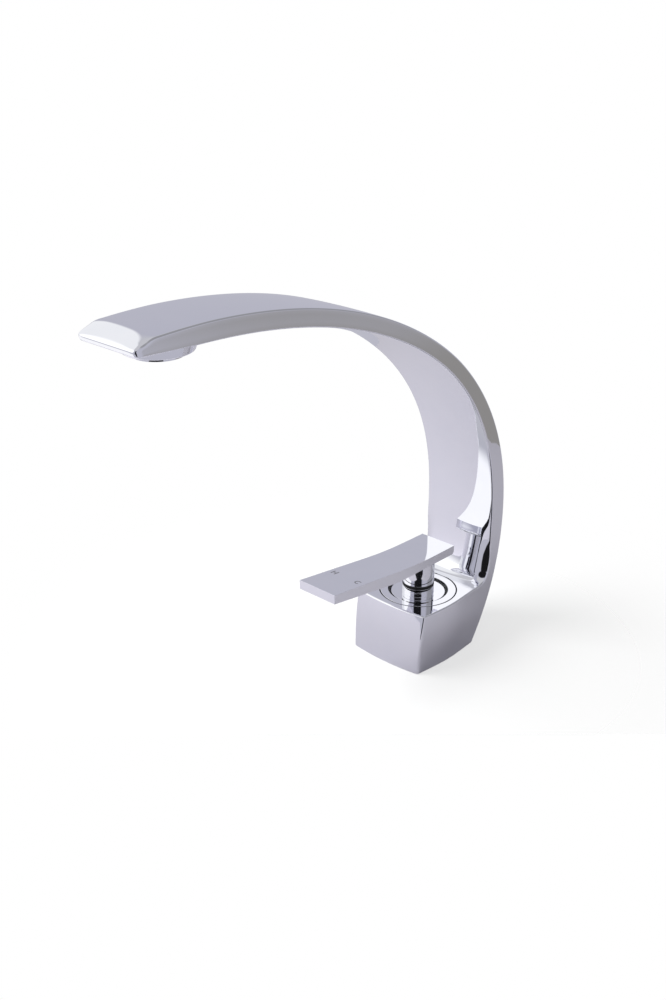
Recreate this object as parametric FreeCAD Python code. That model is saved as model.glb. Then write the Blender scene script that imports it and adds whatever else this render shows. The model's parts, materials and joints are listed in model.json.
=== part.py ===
import FreeCAD, Part
import math
import os

# Single-lever basin mixer: a crescent spout cast in one with a square base block.
# Millimetres, +Z up, the user stands at -Y. The origin lies on the cartridge axis,
# in the plane of the base's underside.

Vector = FreeCAD.Vector

# base block
deck_height = 38.2
front_margin = 4.0
front_lean = 3.6
front_bow = 2.3
side_margin = 4.5
foot_taper = 1.2
side_bulge = 2.2
bulge_half_span = 30.0
bulge_forward = 3.0
corner_radius = 2.0
deck_fillet = 9.0

# crescent arch, drawn between two ovals
outer_centre_forward = 188.0
outer_centre_height = 82.4
rear_reach = 50.2
crown_height = 248.5
inner_centre_forward = 194.0
inner_centre_height = 81.3
riser_thickness = 11.9
spout_thickness = 10.5
riser_half_width = 25.0
spout_half_width = 20.8
riser_start_height = 95.0
riser_end_height = 185.0
outer_fullness_share = 2.13
inner_fullness_share = 2.25
oval_point_count = 24
side_row_count = 15
front_row_count = 9
side_column_count = 18

# beak at the spout's tip
tip_reach = 219.6
beak_length = 35.0
bevel_length = 14.5
bevel_drop = 6.3
bevel_crown = 2.0
lip_height = 3.0
lip_setback = 1.2

# waterway inside the casting
waterway_wall = 2.8
waterway_half_width = 13.0
waterway_foot = 16.0
waterway_neck = 10.0
waterway_end = 10.0
outlet_port_radius = 3.2

# cartridge, stacked down from the deck
trim_ring_overlap = 1.4
trim_ring_height = 3.0
groove_width = 1.9
nut_wall = 2.3
nut_flange = 2.0
nut_skirt = 5.8
nut_slot_width = 3.0
nut_slot_depth = 1.2
nut_slot_count = 4
cartridge_radius = 20.0
housing_wall = 2.8
lip_hole = 12.05
lip_thickness = 2.4
washer_thickness = 0.5
washer_overlap = 2.8
rotor_room = 2.0
rotor_thickness = 4.6
lug_length = 13.0
lug_width = 2.8
lug_drop = 3.4
carrier_radius = 12.3
carrier_half_width = 9.5
carrier_thickness = 4.4
moving_disc_radius = 12.5
moving_disc_thickness = 3.2
mixing_depth = 1.6
mixing_half_width = 10.5
fixed_disc_thickness = 3.4
cartridge_base_thickness = 4.4
port_radius = 4.0
port_side = 6.6
port_forward = 4.6
port_slot_length = 5.0
port_slot_width = 2.6
port_land = 0.5
port_seal_width = 1.5
port_seal_height = 1.2
window_half_width = 6.0
window_height = 5.0
peg_radius = 1.2
peg_height = 2.0
seal_radius = 0.95
housing_seal_rise = 11.2

# lever pivot
pivot_drop = 1.0
pin_radius = 1.5
pin_setback = 1.5
lift_deg = 24.0
spindle_radius = 3.4
spindle_skirt = 4.0
spindle_neck = 13.0
spindle_headroom = 3.8
spindle_square = 5.0
arm_length = 8.2
arm_radius = 2.2
ball_radius = 2.6

# cover disc and collar round the spindle
cover_radius = 16.5
cover_sink = 1.3
cover_thickness = 1.8
cover_skirt = 2.0
collar_radius = 9.75
collar_hole = 7.4
collar_height = 4.9
wiper_height = 2.1

# lever
lever_rear = 18.2
lever_reach = 89.0
lever_rear_half_width = 12.5
lever_tip_half_width = 13.6
lever_thickness = 5.4
hub_height = 15.8
hub_bore = 7.6
hub_bore_roof = 3.0
top_bend_radius = 330.0
top_bend_deg = 6.1
under_bend_forward = 26.0
under_bend_radius = 120.0
under_bend_deg = 7.8
tail_taper_length = 12.0
tail_taper_height = 0.9
tail_radius = 2.0
lever_edge_radius = 0.7
grub_radius = 2.0
grub_length = 8.2
grub_key = 1.0
grub_key_depth = 2.4
grub_height = 6.4
cap_length = 1.9

# hot and cold marks let into the lever's top
mark_side = 9.0
mark_forward = 65.0
mark_height = 4.2
mark_width = 3.4
mark_stroke = 0.8
mark_depth = 0.4

# inlet block under the cartridge
block_ledge = 4.4
block_recess = 1.0
inlet_thread_radius = 4.5
stud_thread_radius = 3.4
stud_thread_depth = 7.5
stud_rear = 8.6
gasket_forward = 4.3
gasket_margin = 4.5
gasket_width = 1.8
gasket_height = 2.1

# aerator under the beak
aerator_setback = 29.1
boss_wall = 5.9
boss_edge = 1.2
boss_height = 5.0
aerator_thread_radius = 11.9
aerator_shoulder = 0.7
aerator_flange = 2.0
aerator_wall = 1.9
aerator_lip = 0.9
aerator_lip_height = 0.5
screen_thickness = 0.5
screen_hole = 0.55
screen_pitch = 1.55
screen_ring_count = 4
insert_height = 3.4
insert_hole = 1.45
insert_pitch = 3.5
insert_ring_count = 2
restrictor_height = 2.4
restrictor_hole = 0.8
restrictor_hole_circle = 6.5
restrictor_hole_count = 8
restrictor_dome = 3.6
restrictor_dome_height = 1.2
aerator_washer_height = 1.3
aerator_washer_width = 2.8

# room left between pieces
static_gap = 0.1
running_gap = 0.05
moving_gap = 0.3
overrun = 1.0

# widths worked out from the cartridge outwards
cavity_radius = cartridge_radius - housing_wall
bore_radius = cartridge_radius + 2 * static_gap
rotor_radius = cavity_radius - rotor_room
pin_half_length = lip_hole - pin_setback
block_radius = cartridge_radius - block_ledge
nut_radius = cartridge_radius + static_gap + nut_wall
nut_hole = cover_radius + moving_gap
trim_ring_hole = cover_radius + groove_width
trim_ring_radius = nut_radius + trim_ring_overlap
deck_half_width = trim_ring_radius + side_margin
foot_half_width = deck_half_width - foot_taper
foot_front = trim_ring_radius + front_margin + front_lean
gasket_radius = foot_half_width - gasket_margin
aerator_forward = tip_reach - aerator_setback
boss_radius = aerator_thread_radius + boss_wall
aerator_flange_radius = aerator_thread_radius + aerator_shoulder
aerator_bore = aerator_thread_radius - aerator_wall
aerator_washer_hole = aerator_thread_radius - aerator_washer_width

# heights worked out from the deck down
ring_foot = deck_height - trim_ring_height
shoulder = ring_foot - nut_flange
lip_foot = shoulder - lip_thickness
rotor_top = lip_foot - washer_thickness - static_gap
rotor_foot = rotor_top - rotor_thickness
carrier_top = rotor_foot - 2 * static_gap
carrier_foot = carrier_top - carrier_thickness
moving_disc_foot = carrier_foot - moving_disc_thickness
fixed_disc_foot = moving_disc_foot - fixed_disc_thickness
floor = fixed_disc_foot - cartridge_base_thickness
pivot_height = shoulder - pivot_drop
cover_top = deck_height - cover_sink
cover_foot = cover_top - cover_thickness
collar_top = cover_top + collar_height
hub_foot = collar_top + wiper_height
lever_underside = hub_foot + hub_height
lever_top = lever_underside + lever_thickness
neck_top = cover_foot - moving_gap
lean_deg = lift_deg / 2
disc_travel = 2 * arm_length * math.sin(math.radians(lean_deg))
disc_rest = disc_travel / 2
pivot = Vector(0, 0, pivot_height)
hub_sphere = math.hypot(collar_radius, hub_foot - pivot_height)
socket_foot = pivot_height + hub_sphere + moving_gap
socket_top = lever_underside - hub_bore_roof - moving_gap
spindle_head = socket_top - pivot_height - spindle_headroom


def cylinder(radius, low, high, x=0, y=0):
    return Part.makeCylinder(radius, high - low, Vector(x, y, low))


def tube(outer, inner, low, high, x=0, y=0):
    hole = cylinder(inner, low - overrun, high + overrun, x, y)
    return cylinder(outer, low, high, x, y).cut(hole)


def block(low, high):
    size = high - low
    return Part.makeBox(size.x, size.y, size.z, low)


def line(start, end):
    return Part.LineSegment(start, end).toShape()


def arc(start, middle, end):
    return Part.Arc(start, middle, end).toShape()


def side_point(y, z):
    return Vector(0, y, z)


def mirrored(shape):
    return shape.mirror(Vector(0, 0, 0), Vector(1, 0, 0))


def extruded_across(edges, half_width):
    face = Part.Face(Part.Wire(edges))
    face.translate(Vector(-half_width, 0, 0))
    return face.extrude(Vector(2 * half_width, 0, 0))


def round_spots(pitch, ring_count):
    # centres on a hexagonal grid, ring by ring
    spots = []
    for i in range(-ring_count, ring_count + 1):
        for j in range(-ring_count, ring_count + 1):
            if abs(i + j) <= ring_count:
                spots.append((pitch * (i + j / 2), pitch * j * math.sqrt(3) / 2))
    return spots


class Oval:
    # a superellipse about a point ahead of the axis
    def __init__(self, forward, height, rear, top, fullness):
        self.y = -forward
        self.z = height
        self.depth = rear + forward
        self.rise = top - height
        self.power = fullness

    def grown(self, by):
        return Oval(-self.y, self.z, self.y + self.depth + by, self.z + self.rise + by, self.power)

    def rear_at(self, z):
        reach = 1 - abs((z - self.z) / self.rise) ** self.power
        return self.y + self.depth * reach ** (1 / self.power)

    def top_at(self, y):
        reach = 1 - abs((y - self.y) / self.depth) ** self.power
        return self.z + self.rise * reach ** (1 / self.power)

    def point(self, angle):
        cosine = math.cos(angle)
        sine = math.sin(angle)
        share = abs(cosine / self.depth) ** self.power + abs(sine / self.rise) ** self.power
        radius = share ** (-1 / self.power)
        return side_point(self.y + radius * cosine, self.z + radius * sine)

    def curve(self, low_z, end_y):
        start = math.atan2(low_z - self.z, self.rear_at(low_z) - self.y)
        end = math.atan2(self.top_at(end_y) - self.z, end_y - self.y)
        step = (end - start) / (oval_point_count - 1)
        spline = Part.BSplineCurve()
        spline.interpolate([self.point(start + i * step) for i in range(oval_point_count)])
        return spline.toShape()


outer_oval = Oval(outer_centre_forward, outer_centre_height, rear_reach, crown_height, outer_fullness_share)
inner_oval = Oval(inner_centre_forward, inner_centre_height, rear_reach - riser_thickness,
                  crown_height - spout_thickness, inner_fullness_share)


def eased(value, low, high):
    share = min(1.0, max(0.0, (value - low) / (high - low)))
    return share * share * (3 - 2 * share)


def half_width(y, z):
    # wide at the deck, narrower up the riser, narrowest along the spout
    lower = foot_half_width + (deck_half_width - foot_half_width) * eased(z, -deck_height, deck_height)
    middle = lower + (riser_half_width - lower) * eased(z, deck_height, riser_start_height)
    width = middle + (spout_half_width - middle) * eased(z, riser_end_height, crown_height)
    across = (y + bulge_forward) / bulge_half_span
    fall = 2 * side_bulge * across * across / (1 + across * across)
    return width - fall * (1 - eased(z, deck_height, riser_start_height))


def side_cutter():
    # everything outside the casting's +X side
    margin = deck_height
    rear = rear_reach + margin
    depth = rear + tip_reach + margin
    rise = crown_height + 2 * margin
    rows = []
    for i in range(side_row_count):
        z = -margin + rise * i / (side_row_count - 1)
        columns = [rear - depth * j / (side_column_count - 1) for j in range(side_column_count)]
        rows.append([Vector(half_width(y, z), y, z) for y in columns])
    surface = Part.BSplineSurface()
    surface.interpolate(rows)
    return surface.toShape().extrude(Vector(2 * deck_half_width, 0, 0))


def front_face(x, z):
    # upright at the foot, leaning back towards the deck, bowed across
    lean = front_lean * max(0.0, z / deck_height) ** 2
    bow = front_bow * (x / foot_half_width) ** 2
    return Vector(x, lean + bow - foot_front, z)


def front_cutter():
    # everything ahead of the base's front, up to a little over the deck
    rise = 3 * deck_height / 2
    width = 2 * deck_half_width + 2 * overrun
    rows = []
    for i in range(front_row_count):
        z = rise * i / (front_row_count - 1) - deck_height / 4
        across = [width * j / (front_row_count - 1) - width / 2 for j in range(front_row_count)]
        rows.append([front_face(x, z) for x in across])
    surface = Part.BSplineSurface()
    surface.interpolate(rows)
    return surface.toShape().extrude(Vector(0, -foot_front, 0))


def casting_outline():
    foot_rear = side_point(outer_oval.rear_at(0), 0)
    foot_nose = side_point(-foot_front - overrun, 0)
    deck_nose = side_point(-foot_front - overrun, deck_height)
    deck_rear = side_point(inner_oval.rear_at(deck_height), deck_height)
    beak_rear = side_point(beak_length - tip_reach, inner_oval.top_at(beak_length - tip_reach))
    lip_top = side_point(-tip_reach, crown_height - bevel_drop)
    lip_bottom = lip_top + side_point(lip_setback, -lip_height)
    bevel_y = bevel_length - tip_reach
    bevel_top = side_point(bevel_y, outer_oval.top_at(bevel_y))
    chord = bevel_top - lip_top
    bevel_out = side_point(-chord.z, chord.y).normalize() * bevel_crown
    return [
        line(foot_rear, foot_nose),
        line(foot_nose, deck_nose),
        line(deck_nose, deck_rear),
        inner_oval.curve(deck_height, beak_rear.y),
        line(beak_rear, lip_bottom),
        line(lip_bottom, lip_top),
        arc(lip_top, (lip_top + bevel_top) / 2 + bevel_out, bevel_top),
        outer_oval.curve(0, bevel_y),
    ]


def waterway():
    # from the port behind the cartridge, up the riser and along to the aerator
    outer = outer_oval.grown(-waterway_wall)
    inner = inner_oval.grown(waterway_wall)
    end = -(aerator_forward + waterway_end)
    neck = deck_height + waterway_neck
    bore_back = nut_radius + waterway_wall
    foot_front_edge = side_point(bore_back, waterway_foot)
    foot_rear_edge = side_point(outer.rear_at(waterway_foot), waterway_foot)
    knee = side_point(inner_oval.rear_at(deck_height) + waterway_wall, deck_height - waterway_wall)
    outline = [
        line(foot_rear_edge, foot_front_edge),
        line(foot_front_edge, knee),
        line(knee, side_point(inner.rear_at(neck), neck)),
        inner.curve(neck, end),
        line(side_point(end, inner.top_at(end)), side_point(end, outer.top_at(end))),
        outer.curve(waterway_foot, end),
    ]
    return extruded_across(outline, waterway_half_width)


def edges_where(shape, wanted):
    return [edge for edge in shape.Edges if wanted(edge.BoundBox)]


def is_front_corner(box):
    rises = box.ZLength > deck_height / 2 and box.ZMax < crown_height / 2
    return rises and box.YMax < 2 * (front_lean + front_bow) - foot_front


def casting_shell():
    shell = extruded_across(casting_outline(), deck_half_width + overrun)
    cutter = side_cutter()
    shell = shell.cut(cutter).cut(mirrored(cutter)).cut(front_cutter()).Solids[0]
    deck_rear = inner_oval.rear_at(deck_height)
    step = edges_where(shell, lambda b: abs(b.ZMax - deck_height) < static_gap
                       and b.ZLength < static_gap and abs(b.YMin - deck_rear) < static_gap
                       and b.YLength < static_gap)
    shell = shell.makeFillet(deck_fillet, step)
    return shell.makeFillet(corner_radius, edges_where(shell, is_front_corner))


def peg_spots():
    ledge = (block_radius + cartridge_radius) / 2
    return [(0, ledge), (0, -ledge)]


def body_casting():
    underside = inner_oval.top_at(-aerator_forward)
    boss_foot = underside - boss_height
    casting = casting_shell()
    channel_floor = underside + waterway_wall
    washer_seat = aerator_levels()[3] + aerator_washer_height
    boss = cylinder(boss_radius, boss_foot, channel_floor, 0, -aerator_forward)
    casting = casting.fuse(boss.makeFillet(boss_edge, edges_where(boss, lambda b: b.ZMax < boss_foot + static_gap)))
    cuts = [
        waterway(),
        cylinder(aerator_thread_radius, boss_foot - overrun, washer_seat, 0, -aerator_forward),
        cylinder(aerator_washer_hole, boss_foot, channel_floor + overrun, 0, -aerator_forward),
        cylinder(trim_ring_radius + static_gap, ring_foot, deck_height + overrun),
        cylinder(nut_radius + static_gap, shoulder - nut_skirt - static_gap, deck_height),
        cylinder(bore_radius, floor, deck_height),
        cylinder(block_radius + static_gap, -overrun, floor + overrun),
        tube(gasket_radius, gasket_radius - gasket_width, -overrun, gasket_height, 0, -gasket_forward),
        Part.makeCylinder(outlet_port_radius, nut_radius + 3 * waterway_wall - cavity_radius,
                          Vector(0, cavity_radius, window_foot() + window_height / 2), Vector(0, 1, 0)),
    ]
    peg_foot = floor - peg_height - static_gap
    for x, y in peg_spots():
        cuts.append(cylinder(peg_radius + static_gap, peg_foot, floor + overrun, x, y))
    for cut in cuts:
        casting = casting.cut(cut)
    return casting.Solids[0]


def window_foot():
    return moving_disc_foot + static_gap


def ring_seal(radius, height):
    return Part.makeTorus(radius, seal_radius, Vector(0, 0, height))


def seal_groove(radius, height):
    # rings of this section are seated by their own width, with room to spread
    half = seal_radius + static_gap
    return tube(radius + 2 * half, radius - half, height - half, height + half)


def inlet_spots():
    return [(-port_side, -port_forward), (port_side, -port_forward)]


def inlet_block():
    stud_end = block_recess + stud_thread_depth
    shape = cylinder(block_radius, block_recess, floor)
    for x, y in inlet_spots():
        shape = shape.cut(cylinder(inlet_thread_radius, -overrun, floor + overrun, x, y))
    shape = shape.cut(cylinder(stud_thread_radius, -overrun, stud_end, 0, stud_rear))
    return shape.cut(seal_groove(block_radius - seal_radius, (block_recess + floor) / 2))


def inlet_block_seal():
    return ring_seal(block_radius - seal_radius, (block_recess + floor) / 2)


def base_gasket():
    return tube(gasket_radius - static_gap, gasket_radius - gasket_width + static_gap, static_gap,
                gasket_height, 0, -gasket_forward)


def cartridge_base():
    seat_radius = port_radius + port_seal_width
    shape = cylinder(cartridge_radius, floor, fixed_disc_foot)
    for x, y in inlet_spots():
        shape = shape.cut(cylinder(port_radius, floor - overrun, fixed_disc_foot + overrun, x, y))
        shape = shape.cut(cylinder(seat_radius, floor - overrun, floor + port_seal_height, x, y))
    for x, y in peg_spots():
        shape = shape.fuse(cylinder(peg_radius, floor - peg_height, floor + overrun, x, y))
    return shape


def port_seals():
    rings = []
    for x, y in inlet_spots():
        rings.append(tube(port_radius + port_seal_width - static_gap, port_radius, floor,
                          floor + port_seal_height, x, y))
    return Part.Compound(rings)


def fixed_ceramic_disc():
    shape = cylinder(cavity_radius - static_gap, fixed_disc_foot, moving_disc_foot)
    rear = -(port_forward - port_slot_width / 2)
    for x, y in inlet_spots():
        low = Vector(x - port_slot_length / 2, rear - port_slot_width, fixed_disc_foot - overrun)
        high = Vector(x + port_slot_length / 2, rear, moving_disc_foot + overrun)
        shape = shape.cut(block(low, high))
    return shape


def moving_ceramic_disc():
    shape = cylinder(moving_disc_radius, moving_disc_foot, carrier_foot, 0, disc_rest)
    front = port_slot_width / 2 - port_forward + port_land
    low = Vector(-mixing_half_width, front, moving_disc_foot - overrun)
    high = Vector(mixing_half_width, disc_rest + moving_disc_radius, moving_disc_foot + mixing_depth)
    return shape.cut(block(low, high))


def disc_carrier():
    shape = cylinder(carrier_radius, carrier_foot, carrier_top, 0, disc_rest)
    reach = carrier_radius + overrun
    low = Vector(-carrier_half_width, disc_rest - reach, carrier_foot - overrun)
    high = Vector(carrier_half_width, disc_rest + reach, carrier_top + overrun)
    shape = shape.common(block(low, high))
    socket_radius = ball_radius + moving_gap / 2
    return shape.cut(cylinder(socket_radius, carrier_foot - overrun, carrier_top + overrun, 0, disc_rest))


def cartridge_housing():
    shape = cylinder(cartridge_radius, fixed_disc_foot, shoulder)
    shape = shape.cut(cylinder(cavity_radius, fixed_disc_foot - overrun, lip_foot))
    shape = shape.cut(cylinder(lip_hole, lip_foot - overrun, shoulder + overrun))
    low = Vector(-window_half_width, cavity_radius - 2 * housing_wall, window_foot())
    high = Vector(window_half_width, cartridge_radius + overrun, window_foot() + window_height)
    shape = shape.cut(block(low, high))
    return shape.cut(seal_groove(cartridge_radius - seal_radius, fixed_disc_foot + housing_seal_rise))


def housing_seal():
    return ring_seal(cartridge_radius - seal_radius, fixed_disc_foot + housing_seal_rise)


def retaining_nut():
    shape = cylinder(nut_radius, shoulder - nut_skirt, ring_foot)
    shape = shape.cut(cylinder(cartridge_radius + static_gap, shoulder - nut_skirt - overrun, shoulder))
    shape = shape.cut(cylinder(nut_hole, shoulder - overrun, ring_foot + overrun))
    for i in range(nut_slot_count):
        low = Vector(cartridge_radius, -nut_slot_width / 2, ring_foot - nut_slot_depth)
        high = Vector(nut_radius + overrun, nut_slot_width / 2, ring_foot + overrun)
        slot = block(low, high)
        slot.rotate(Vector(0, 0, 0), Vector(0, 0, 1), 360 * i / nut_slot_count)
        shape = shape.cut(slot)
    return shape


def trim_ring():
    return tube(trim_ring_radius, trim_ring_hole, ring_foot, deck_height)


def cover_cap():
    shape = cylinder(cover_radius, shoulder, cover_top)
    shape = shape.fuse(cylinder(collar_radius, cover_foot, collar_top))
    shape = shape.cut(cylinder(cover_radius - cover_skirt, shoulder - overrun, cover_foot))
    return shape.cut(cylinder(collar_hole, cover_foot - overrun, collar_top + overrun))


def wiper_ring():
    # its crown follows the ball that the hub's hollow foot sweeps round the pivot
    shape = tube(collar_radius - static_gap, collar_hole - static_gap, collar_top, hub_foot + wiper_height)
    return shape.common(Part.makeSphere(hub_sphere - moving_gap, pivot))


def rotor():
    shape = cylinder(rotor_radius, rotor_foot, rotor_top)
    shape = shape.fuse(cylinder(lip_hole - running_gap, rotor_foot, neck_top))
    lug_inside = carrier_half_width + moving_gap
    low = Vector(lug_inside, -lug_length / 2, rotor_foot - lug_drop)
    high = Vector(lug_inside + lug_width, lug_length / 2, rotor_foot + overrun)
    lug = block(low, high)
    shape = shape.fuse(lug).fuse(mirrored(lug))
    slot_side = spindle_radius + moving_gap
    slot_length = spindle_radius + overrun
    low = Vector(-slot_side, -slot_length, rotor_foot - overrun)
    high = Vector(slot_side, slot_length, neck_top + overrun)
    shape = shape.cut(block(low, high))
    return shape.cut(across_pivot(pin_radius, pin_half_length))


def across_pivot(radius, half_length):
    return Part.makeCylinder(radius, 2 * half_length, pivot - Vector(half_length, 0, 0), Vector(1, 0, 0))


def glide_washer():
    return tube(lip_hole + washer_overlap, lip_hole, rotor_top, rotor_top + washer_thickness)


def pivot_pin():
    return across_pivot(pin_radius, pin_half_length)


def leaned(shape):
    # at rest the spindle leans forward by half its swing
    shape.rotate(pivot, Vector(1, 0, 0), lean_deg)
    return shape


def spindle_square_bar(room):
    half = spindle_square / 2 + room
    low = pivot + Vector(-half, -half, spindle_neck)
    return block(low, pivot + Vector(half, half, spindle_head + room))


def spindle():
    shape = cylinder(spindle_radius, pivot_height - spindle_skirt, pivot_height + spindle_neck)
    shape = shape.fuse(spindle_square_bar(0))
    shape = shape.fuse(cylinder(arm_radius, pivot_height - arm_length, pivot_height))
    shape = shape.fuse(Part.makeSphere(ball_radius, pivot - Vector(0, 0, arm_length)))
    shape = shape.cut(across_pivot(pin_radius + running_gap, pin_half_length))
    return leaned(shape)


def bent_run(start_y, height, radius, turn_deg):
    # flat towards the tip, then a soft bend, then straight to the tip
    turn = math.radians(turn_deg)
    middle = side_point(start_y - radius * math.sin(turn / 2), height + radius * (1 - math.cos(turn / 2)))
    end = side_point(start_y - radius * math.sin(turn), height + radius * (1 - math.cos(turn)))
    tip = side_point(-lever_reach, end.z + math.tan(turn) * (end.y + lever_reach))
    return side_point(start_y, height), middle, end, tip


def lever_handle():
    top_start, top_middle, top_end, top_tip = bent_run(0, lever_top, top_bend_radius, top_bend_deg)
    low_start, low_middle, low_end, low_tip = bent_run(
        -under_bend_forward, lever_underside, under_bend_radius, under_bend_deg)
    tail_top = side_point(lever_rear, lever_top)
    tail_under = side_point(lever_rear - tail_taper_length, lever_underside)
    tail_corner = side_point(lever_rear, lever_underside + tail_taper_height)
    tail_low = tail_corner + side_point(0, tail_radius)
    tail_round = tail_corner + side_point(-tail_radius, tail_radius) * (1 - math.cos(math.pi / 4))
    tail_foot = tail_corner + (tail_under - tail_corner).normalize() * tail_radius
    bar = extruded_across([
        line(tail_top, top_start),
        arc(top_start, top_middle, top_end),
        line(top_end, top_tip),
        line(top_tip, low_tip),
        line(low_tip, low_end),
        arc(low_end, low_middle, low_start),
        line(low_start, tail_under),
        line(tail_under, tail_foot),
        arc(tail_foot, tail_round, tail_low),
        line(tail_low, tail_top),
    ], lever_tip_half_width + overrun)
    bar = bar.common(lever_plan())
    long_edges = edges_where(bar, lambda b: b.ZMax > lever_underside + lever_thickness / 2)
    bar = bar.makeFillet(lever_edge_radius, long_edges)
    hub = cylinder(collar_radius, pivot_height, lever_underside + lever_thickness / 2)
    hub = hub.cut(Part.makeSphere(hub_sphere, pivot))
    shape = bar.fuse(hub)
    shape = shape.cut(cylinder(hub_bore, pivot_height, lever_underside - hub_bore_roof))
    shape = shape.cut(grub_hole())
    for mark in (hot_mark(), cold_mark()):
        shape = shape.cut(mark)
    return shape.Solids[0]


def lever_plan():
    corners = [
        Vector(-lever_rear_half_width, lever_rear, lever_underside - overrun),
        Vector(lever_rear_half_width, lever_rear, lever_underside - overrun),
        Vector(lever_tip_half_width, -lever_reach, lever_underside - overrun),
        Vector(-lever_tip_half_width, -lever_reach, lever_underside - overrun),
    ]
    face = Part.Face(Part.makePolygon(corners + corners[:1]))
    return face.extrude(Vector(0, 0, lever_reach))


def grub_hole():
    start = Vector(0, -grub_radius, hub_foot + grub_height)
    return Part.makeCylinder(grub_radius, grub_radius + collar_radius + overrun, start, Vector(0, 1, 0))


def hub_socket():
    shape = cylinder(hub_bore, socket_foot, socket_top)
    bar = leaned(spindle_square_bar(0))
    return shape.cut(bar).cut(grub_hole())


def grub_screw():
    tail = collar_radius - cap_length - static_gap
    height = hub_foot + grub_height
    shape = Part.makeCylinder(grub_radius, grub_length, Vector(0, tail, height), Vector(0, -1, 0))
    low = Vector(-grub_key, tail - grub_key_depth, height - grub_key)
    high = Vector(grub_key, tail + overrun, height + grub_key)
    return shape.cut(block(low, high))


def screw_cap():
    start = Vector(0, collar_radius - cap_length, hub_foot + grub_height)
    shape = Part.makeCylinder(grub_radius, cap_length + overrun, start, Vector(0, 1, 0))
    return shape.common(cylinder(collar_radius, hub_foot, lever_underside))


def on_lever_top(shape, side):
    # laid on the straight run of the lever's top
    _, _, end, _ = bent_run(0, lever_top, top_bend_radius, top_bend_deg)
    height = end.z + math.tan(math.radians(top_bend_deg)) * (end.y + mark_forward)
    shape.rotate(Vector(0, 0, 0), Vector(1, 0, 0), -top_bend_deg)
    shape.translate(Vector(side, -mark_forward, height))
    return shape


def hot_mark():
    side = mark_width / 2
    end = mark_height / 2
    left = block(Vector(-side, -end, -mark_depth), Vector(mark_stroke - side, end, 0))
    bar = block(Vector(-side, -mark_stroke / 2, -mark_depth), Vector(side, mark_stroke / 2, 0))
    return on_lever_top(left.fuse(mirrored(left)).fuse(bar).removeSplitter(), -mark_side)


def cold_mark():
    shape = tube(mark_height / 2, mark_height / 2 - mark_stroke, -mark_depth, 0)
    low = Vector(mark_height / 4, -mark_height / 3, -mark_depth - overrun)
    high = Vector(mark_height, mark_height / 3, overrun)
    return on_lever_top(shape.cut(block(low, high)), mark_side)


def aerator_foot():
    return inner_oval.top_at(-aerator_forward) - boss_height - aerator_flange


def aerator_levels():
    screen = aerator_foot() + aerator_lip_height
    insert = screen + screen_thickness
    restrictor = insert + insert_height
    return screen, insert, restrictor, restrictor + restrictor_height


def aerator_housing():
    foot = aerator_foot()
    top = aerator_levels()[3]
    shape = cylinder(aerator_flange_radius, foot, foot + aerator_flange)
    shape = shape.fuse(cylinder(aerator_thread_radius - static_gap, foot, top))
    shape = shape.cut(cylinder(aerator_bore, foot + aerator_lip_height, top + overrun))
    shape = shape.cut(cylinder(aerator_bore - aerator_lip, foot - overrun, top))
    shape.translate(Vector(0, -aerator_forward, 0))
    return shape


def holed_plate(low, high, hole, spots):
    shape = cylinder(aerator_bore - static_gap, low, high)
    holes = [cylinder(hole, low - overrun, high + overrun, x, y) for x, y in spots]
    shape = shape.cut(Part.Compound(holes))
    shape.translate(Vector(0, -aerator_forward, 0))
    return shape


def aerator_screen():
    screen, insert, _, _ = aerator_levels()
    return holed_plate(screen, insert, screen_hole, round_spots(screen_pitch, screen_ring_count))


def aerator_insert():
    _, insert, restrictor, _ = aerator_levels()
    return holed_plate(insert, restrictor, insert_hole, round_spots(insert_pitch, insert_ring_count))


def flow_restrictor():
    _, _, restrictor, top = aerator_levels()
    spots = []
    for i in range(restrictor_hole_count):
        angle = 2 * math.pi * i / restrictor_hole_count
        spots.append((restrictor_hole_circle * math.cos(angle), restrictor_hole_circle * math.sin(angle)))
    plate = holed_plate(restrictor, top, restrictor_hole, spots)
    return plate.fuse(Part.makeCone(restrictor_dome, restrictor_dome / 2, restrictor_dome_height,
                                    Vector(0, -aerator_forward, top)))


def aerator_washer():
    top = aerator_levels()[3]
    shape = tube(aerator_thread_radius - static_gap, aerator_washer_hole, top, top + aerator_washer_height)
    shape.translate(Vector(0, -aerator_forward, 0))
    return shape


pieces = [
    body_casting, inlet_block, inlet_block_seal, base_gasket,
    cartridge_base, port_seals, fixed_ceramic_disc, moving_ceramic_disc, disc_carrier,
    cartridge_housing, housing_seal, retaining_nut, trim_ring, cover_cap, wiper_ring,
    rotor, glide_washer, pivot_pin, spindle,
    lever_handle, hub_socket, grub_screw, screw_cap, hot_mark, cold_mark,
    aerator_housing, aerator_screen, aerator_insert, flow_restrictor, aerator_washer,
]

os.makedirs("parts", exist_ok=True)
for piece in pieces:
    shape = piece()
    shape.exportStep("parts/" + piece.__name__ + ".step")
    print(piece.__name__, len(shape.Solids), shape.isValid(), round(shape.Volume, 1))
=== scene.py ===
import json
import math

import bmesh
import bpy
from mathutils import Matrix, Vector


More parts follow.
